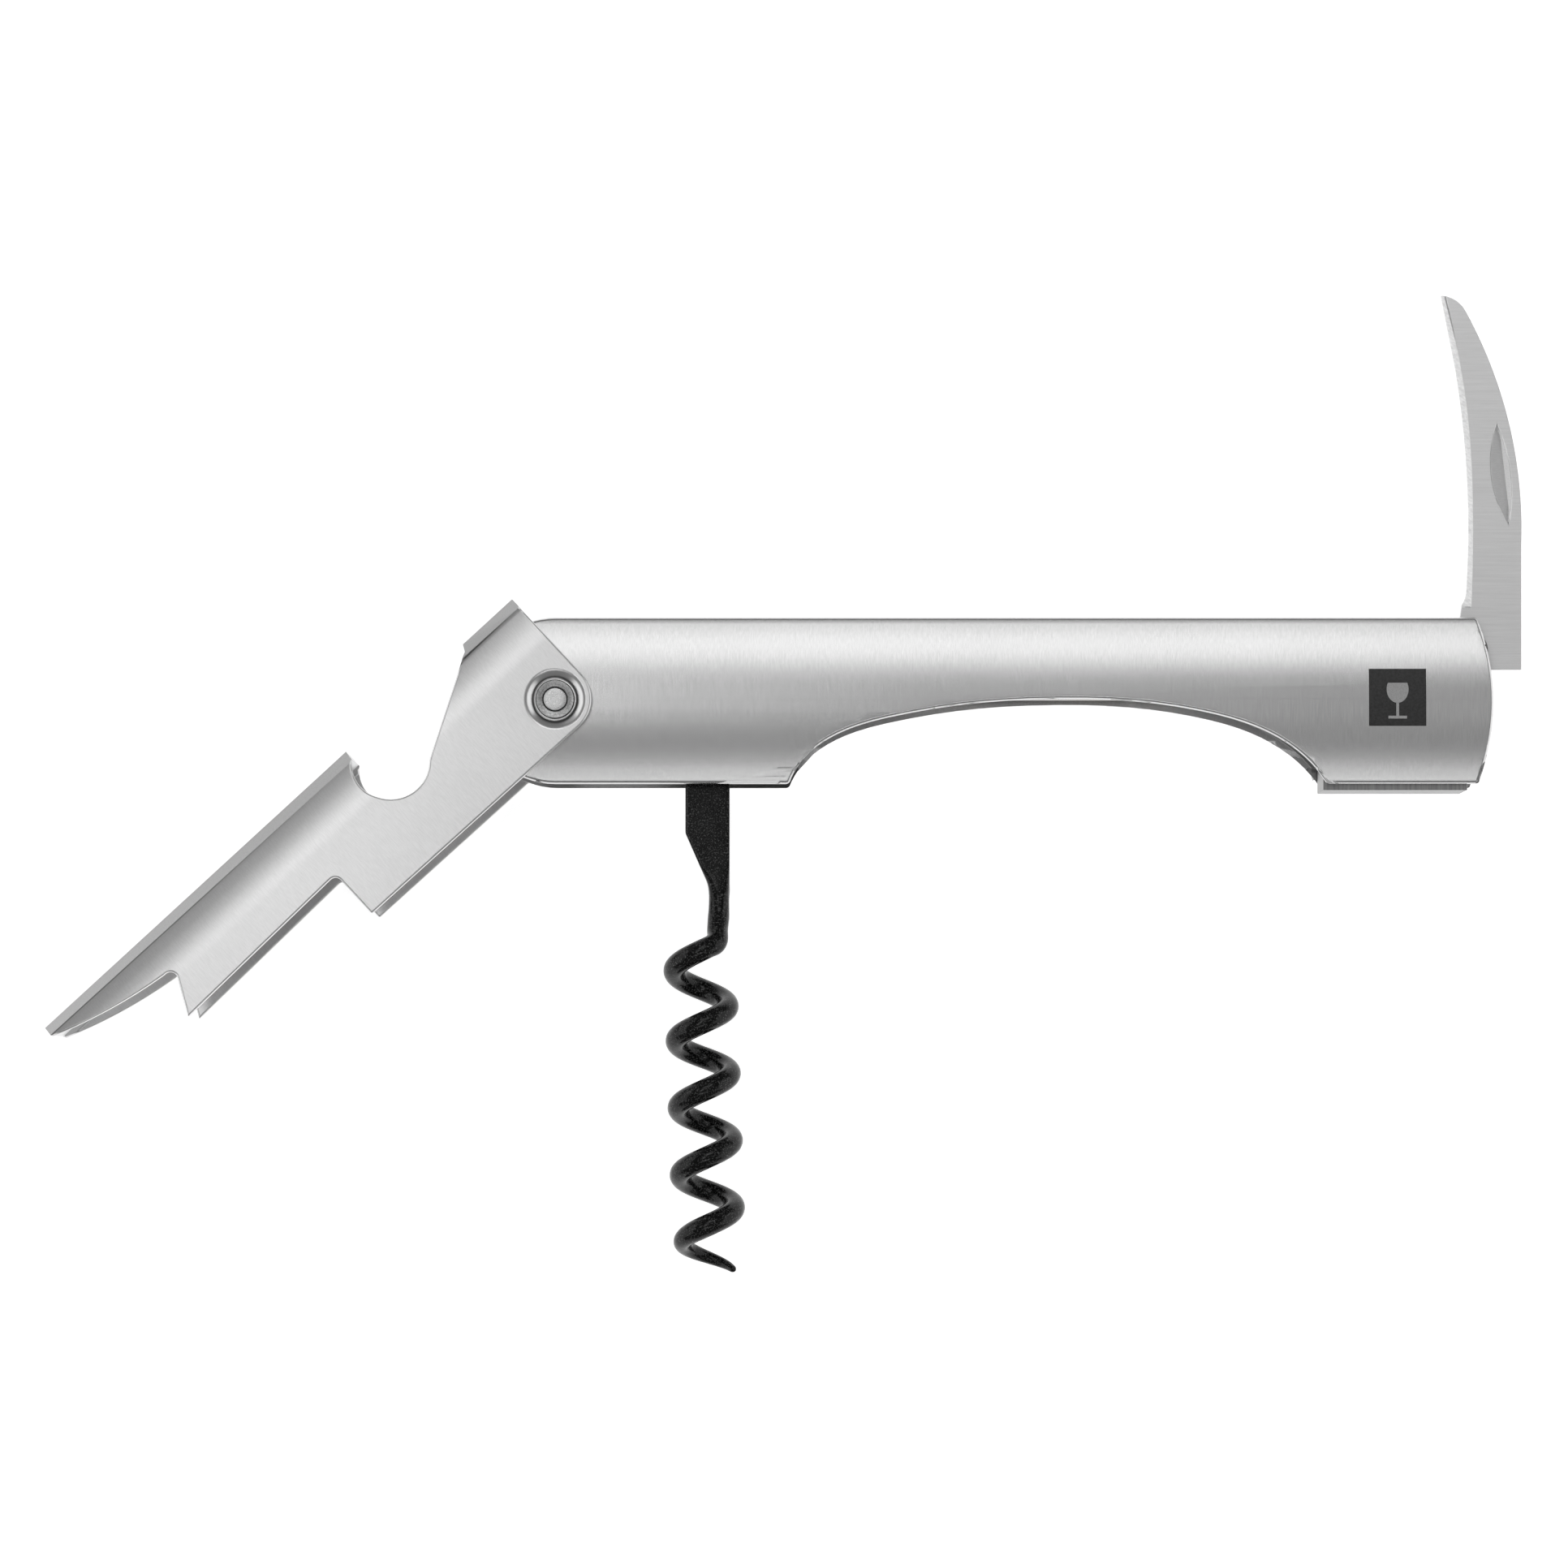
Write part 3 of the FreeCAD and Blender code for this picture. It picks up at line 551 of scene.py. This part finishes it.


# ---- lever's rivet -----------------------------------------------------------------------------
# The lever turns on a steel sleeve with a flared head at both ends, and a solid pin with a low flat
# head is closed through it. Both are turned on a lathe and lie in the lever's dish. Near-black
# painted shade lines the gap between them and the sleeve's outer rim, where shadow falls.
SLEEVE_SHAFT = 1.95 * MM
SLEEVE_RIM = 2.42 * MM
SLEEVE_MOUTH = 1.56 * MM
SLEEVE_BORE = 1.22 * MM
SLEEVE_TOP = 8.0 * MM
SLEEVE_LIP = 7.84 * MM
SLEEVE_FLOOR = 7.62 * MM
PIN_SHAFT = 1.18 * MM
PIN_HEAD = 1.40 * MM
PIN_FLAT = 0.84 * MM
PIN_TOP = 7.97 * MM
PIN_SEAT = 7.65 * MM
RIM_ROUND = 0.14 * MM
PIN_ROUND = 0.1 * MM
WAIST = 0.1 * MM
LATHE_STEPS = 96
LATHE_CRISP = math.radians(35)
SPUN_SEAM = 0.002 * MM
# Near-black painted shade on the sleeve's mouth and along its outer rim:
SHADE_MOUTH_EDGE = 0.01 * MM
SHADE_RIM_WIDTH = 0.09 * MM
GAP_SHADE_ROUGHNESS = 0.5
GAP_SHADE_SCALE = 2500


def spun(name, front_half, paint):
    """Turned piece, the same at both ends, from the (radius, height) points of its front half."""
    profile = front_half + [(radius, -height) for radius, height in reversed(front_half)]
    if front_half[0][0] > 0:
        profile.append(front_half[0])
    bpy.ops.object.select_all(action="DESELECT")
    bpy.ops.mesh.primitive_plane_add(size=MM, location=(0, 0, 0))
    piece = bpy.context.object
    piece.name = name
    bpy.ops.object.mode_set(mode="EDIT")
    bpy.ops.mesh.select_mode(type="VERT")
    bpy.ops.mesh.select_all(action="SELECT")
    bpy.ops.mesh.merge(type="CENTER")
    here = Vector((profile[0][0], 0, profile[0][1]))
    bpy.ops.transform.translate(value=here)
    for radius, height in profile[1:]:
        there = Vector((radius, 0, height))
        bpy.ops.mesh.extrude_vertices_move(TRANSFORM_OT_translate={"value": there - here})
        here = there
    bpy.ops.mesh.select_all(action="SELECT")
    bpy.ops.mesh.spin(steps=LATHE_STEPS, angle=2 * math.pi, center=(0, 0, 0), axis=(0, 0, 1))
    bpy.ops.mesh.select_all(action="SELECT")
    bpy.ops.mesh.remove_doubles(threshold=SPUN_SEAM)
    bpy.ops.mesh.normals_make_consistent(inside=False)
    bpy.ops.transform.translate(value=PIVOT)
    bpy.ops.object.mode_set(mode="OBJECT")
    bpy.ops.object.shade_smooth_by_angle(angle=LATHE_CRISP)
    piece.data.materials.append(paint)
    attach(piece, "rivet")
    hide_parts(name.rsplit("_", 1)[0])
    return piece


def rounded(radius, height, size, start, end, steps=4):
    """Points of a small arc about (radius, height), between two angles in degrees."""
    turns = [math.radians(start + (end - start) * step / steps) for step in range(steps + 1)]
    return [(radius + size * math.cos(turn), height + size * math.sin(turn)) for turn in turns]


sleeve_half = [(SLEEVE_BORE, SLEEVE_FLOOR), (SLEEVE_MOUTH, SLEEVE_FLOOR),
               (SLEEVE_MOUTH, SLEEVE_LIP)]
sleeve_half += rounded(SLEEVE_RIM - RIM_ROUND, SLEEVE_TOP - RIM_ROUND, RIM_ROUND, 100, 0)
sleeve_half += [(SLEEVE_RIM, SLEEVE_FLOOR), (SLEEVE_SHAFT, SLEEVE_FLOOR), (SLEEVE_SHAFT, WAIST)]
SLEEVE_STEEL = turned_steel("sleeve_turned_steel", 0.50, 0.34, PIVOT, pitch=9000, contrast=0.22)
sleeve = spun("rivet_sleeve_turned", sleeve_half, SLEEVE_STEEL)

# Painted shade: a near-black coat on the sleeve's mouth and outer rim stands in for their shadow.
GAP_SHADE_PAINT, tree, gap_shade_shader = new_paint("rivet_gap_painted_shade")
set_inputs(gap_shade_shader, {"Roughness": GAP_SHADE_ROUGHNESS})
gap_shade_tone = ranged(tree, speckle(tree, GAP_SHADE_SCALE), 0.008, 0.04)
tree.links.new(gap_shade_tone, gap_shade_shader.inputs["Base Color"])
sleeve.data.materials.append(GAP_SHADE_PAINT)
for face in sleeve.data.polygons:
    reach = (face.center - PIVOT).xy.length
    if reach < SLEEVE_MOUTH + SHADE_MOUTH_EDGE or reach > SLEEVE_RIM - SHADE_RIM_WIDTH:
        face.material_index = 1

pin_half = [(0, PIN_TOP), (PIN_FLAT, PIN_TOP)]
pin_half += rounded(PIN_HEAD - PIN_ROUND, PIN_TOP - PIN_ROUND, PIN_ROUND, 90, 0)
pin_half += [(PIN_HEAD, PIN_SEAT), (PIN_SHAFT, PIN_SEAT), (PIN_SHAFT, WAIST)]
PIN_STEEL = turned_steel("pin_turned_steel", 0.68, 0.3, PIVOT, pitch=7000)
spun("rivet_pin_turned", pin_half, PIN_STEEL)


# ---- worm --------------------------------------------------------------------------------------
# The worm: one steel wire, flattened into a shank with an eye at the top and coiled right-handed
# for nearly five turns to a blunt tapered point, then coated black with a fine, sparkling grain.
EYE_AT = Vector(middle("worm_pin"))
NECK_CUT = -18.5 * MM
NECK_BLEND = 3.4 * MM
BEND_AT = -23.2 * MM
BEND_BLEND = 2.2 * MM
BEND_SHARE = 0.35
WIRE_R = 1.38 * MM
COIL_R = 3.25 * MM
PITCH = 8.3 * MM
COIL_TOP = Vector((-1.2, -24.05, 0)) * MM
TOP_PHASE = 90
FIRST_PHASE = 38
LAST_PHASE = -1688
PHASE_STEP = 20
TAPER_PHASE = 225
TAPER_POWER = 0.8
TIP_R = 0.42 * MM
TIP_ROUND = ((0.8, 0.75), (0.35, 0.2))
TOP_LIFT = 0.8 * MM
LIFT_PHASE = -270
LEAN = Matrix.Rotation(math.radians(1.8), 4, "Z")
LEAN_ABOUT = Vector((1.4, -17.2, 0)) * MM
STEM = [(1.42, -15.5, 0), (1.42, -18.4, 0), (1.40, -20.8, 0.1), (1.26, -22.7, 0.95)]
WIRE_FINENESS = 8
SKIN = 0.15 * MM
COATING_IOR = 1.45
COATING_SPECULAR = 0.30
GRIT_SCALE = 5200
GRIT_STRENGTH = 0.3
GRIT_DEPTH = 0.02 * MM
FLOW_SCALE = 500


def join(main, *others):
    """Join other pieces into the main one."""
    only(main)
    for other in others:
        other.select_set(True)
    bpy.ops.object.join()


shank = merged_copy("worm", "worm_coated")
open_up(shank)
bpy.ops.mesh.bisect(plane_co=EYE_AT + Vector((0, NECK_CUT, 0)), plane_no=(0, 1, 0),
                    use_fill=True, clear_inner=True)
bpy.ops.object.mode_set(mode="OBJECT")

route = [(Vector(place) * MM, WIRE_R) for place in STEM]
for phase in range(FIRST_PHASE, LAST_PHASE, -PHASE_STEP):
    turn = math.radians(phase)
    fallen = PITCH * (TOP_PHASE - phase) / 360
    lift = TOP_LIFT * max(0.0, (phase - LIFT_PHASE) / 360)
    place = COIL_TOP + Vector((COIL_R * math.sin(turn), lift - fallen, COIL_R * math.cos(turn)))
    place = LEAN_ABOUT + LEAN @ (place - LEAN_ABOUT)
    left = (phase - LAST_PHASE) / TAPER_PHASE
    radius = TIP_R + (WIRE_R - TIP_R) * min(1.0, left) ** TAPER_POWER
    route.append((place, radius))
onward = (route[-1][0] - route[-2][0]).normalized()
for forward, share in TIP_ROUND:
    route.append((route[-1][0] + onward * TIP_R * forward, TIP_R * share))

line = bpy.data.curves.new("worm_wire_line", "CURVE")
line.dimensions = "3D"
line.bevel_depth = 1.0
line.bevel_resolution = WIRE_FINENESS
line.resolution_u = WIRE_FINENESS
line.use_fill_caps = True
spline = line.splines.new("BEZIER")
spline.bezier_points.add(len(route) - 1)
for knot, (place, radius) in zip(spline.bezier_points, route):
    knot.co = EYE_AT + place
    knot.radius = radius
    knot.handle_left_type = "AUTO"
    knot.handle_right_type = "AUTO"
only(add_object("worm_wire", line))
bpy.ops.object.convert(target="MESH")
wire = bpy.context.object
open_up(wire)
bpy.ops.mesh.remove_doubles(threshold=SEAM)
bpy.ops.mesh.normals_make_consistent(inside=False)
bpy.ops.object.mode_set(mode="OBJECT")

join(shank, wire)
work_in(shank, "skin", "REMESH", mode="VOXEL", voxel_size=SKIN)
work_in(shank, "soften", "SMOOTH", factor=0.5, iterations=5)
neck = shank.vertex_groups.new(name="neck")
for corner in shank.data.vertices:
    down = corner.co.y - EYE_AT.y
    neck_share = 1 - abs(down - NECK_CUT) / NECK_BLEND
    bend_share = BEND_SHARE * (1 - abs(down - BEND_AT) / BEND_BLEND)
    share = max(neck_share, bend_share)
    if share > 0:
        neck.add([corner.index], share, "REPLACE")
work_in(shank, "blend", "SMOOTH", factor=0.6, iterations=160, vertex_group=neck.name)
bpy.ops.object.shade_smooth()

COATING, tree, coat = new_paint("worm_black_coating")
set_inputs(coat, {"IOR": COATING_IOR, "Specular IOR Level": COATING_SPECULAR})
grit = speckle(tree, GRIT_SCALE)
sparkle = ranged(tree, grit, 0.002, 0.12, middle=0.64, spread=0.11)
tree.links.new(sparkle, coat.inputs["Base Color"])
sheen = ranged(tree, speckle(tree, FLOW_SCALE), 0.14, 0.20)
tree.links.new(sheen, coat.inputs["Roughness"])
raise_grain(tree, coat, grit, GRIT_STRENGTH, GRIT_DEPTH)
repaint(shank, COATING)
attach(shank, "worm")
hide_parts("worm")


# ---- foil blade --------------------------------------------------------------------------------
# The foil cutter: blanked from hardened stainless strip, ground flat across, with a hollow-ground
# cutting edge on both sides and a nail nick milled into the front near its back.
BLADE_EDGE_ROUND = 0.11 * MM
GRIND_LEAN = 0.3
GRIND_FACING = 0.5
BLADE_STEEL = brushed_steel("blade_ground_steel", 0.91, 0.36, math.radians(90),
                            across=6500, along=170, contrast=0.06)
EDGE_STEEL = brushed_steel("blade_edge_grind", 0.72, 0.32, math.radians(62),
                           across=3600, along=260, depth=0.012 * MM, contrast=0.13)
blade = merged_copy("blade", "blade_ground")
round_edges(blade, BLADE_EDGE_ROUND, steps=3, sharp=52)
finish_sheet(blade, "blade", "blade", BLADE_STEEL, crisp=20)
blade.data.materials.append(EDGE_STEEL)
blade_middle = middle("blade")[0]
for face in blade.data.polygons:
    slanted = face.normal.x < -GRIND_LEAN and abs(face.normal.z) > GRIND_FACING
    if slanted and face.center.x < blade_middle:
        face.material_index = 1


# ---- emblem ------------------------------------------------------------------------------------
# A square tile of black enamel, flush in a pocket of the front shell near the butt, with a plain
# wine glass printed on it in light grey.
PEEL_SCALE = 3500
DOT_SCALE = 6000
CIRCLE_STEPS = 64
BOWL_R = 1.35 * MM
BOWL_UP = 1.0 * MM
BOWL_LONG = 1.25
BOWL_RIM = 1.7425 * MM
STEM_HALF = 0.17 * MM
STEM_TOP = -0.66 * MM
STEM_END = -2.30 * MM
FOOT_HALF = 1.15 * MM
FOOT_THICK = 0.34 * MM
FOOT_DOWN = -2.45 * MM
PRINT_STEP = 0.45 * MM
PRINT_LINES = 13
PRINT_LOW = -2.7 * MM
FILM = 0.03 * MM

ENAMEL, tree, glaze = new_paint("emblem_enamel")
peel = speckle(tree, PEEL_SCALE)
tree.links.new(ranged(tree, peel, 0.018, 0.040), glaze.inputs["Base Color"])
tree.links.new(ranged(tree, peel, 0.40, 0.50), glaze.inputs["Roughness"])
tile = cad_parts["emblem_plate"]
repaint(tile, ENAMEL)

PRINT, tree, ink = new_paint("emblem_print")
dots = speckle(tree, DOT_SCALE)
tree.links.new(ranged(tree, dots, 0.40, 0.52), ink.inputs["Base Color"])
tree.links.new(ranged(tree, dots, 0.45, 0.55), ink.inputs["Roughness"])

tile_x, tile_y, _ = middle("emblem_plate")
glass_at = Vector((tile_x, tile_y, tile_high[2] + MM))


def flat_patch(place, half_x, half_y):
    """Flat rectangle above the tile."""
    bpy.ops.mesh.primitive_plane_add(size=2, location=(0, 0, 0))
    patch = bpy.context.object
    open_up(patch)
    bpy.ops.transform.resize(value=(half_x, half_y, 1))
    bpy.ops.transform.translate(value=place)
    bpy.ops.object.mode_set(mode="OBJECT")
    return patch


bpy.ops.object.select_all(action="DESELECT")
bpy.ops.mesh.primitive_circle_add(vertices=CIRCLE_STEPS, radius=BOWL_R, fill_type="NGON",
                                  location=(0, 0, 0))
mark = bpy.context.object
mark.name = "emblem_glass_print"
open_up(mark)
bpy.ops.transform.resize(value=(1, BOWL_LONG, 1))
bpy.ops.transform.translate(value=glass_at + ALONG_Y * BOWL_UP)
bpy.ops.mesh.bisect(plane_co=glass_at + ALONG_Y * BOWL_RIM, plane_no=(0, 1, 0), clear_outer=True)
bpy.ops.object.mode_set(mode="OBJECT")
stem_at = glass_at + ALONG_Y * (STEM_TOP + STEM_END) / 2
stem = flat_patch(stem_at, STEM_HALF, (STEM_TOP - STEM_END) / 2)
foot = flat_patch(glass_at + ALONG_Y * FOOT_DOWN, FOOT_HALF, FOOT_THICK / 2)
join(mark, stem, foot)
cut_lines(mark, glass_at + ALONG_Y * PRINT_LOW, ALONG_Y, PRINT_STEP, PRINT_LINES)
work_in(mark, "lay_on_tile", "SHRINKWRAP", target=tile, wrap_method="PROJECT",
        use_project_z=True, use_negative_direction=True, offset=FILM)
work_in(mark, "film", "SOLIDIFY", thickness=FILM)
mark.data.materials.append(PRINT)
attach(mark, "handle")
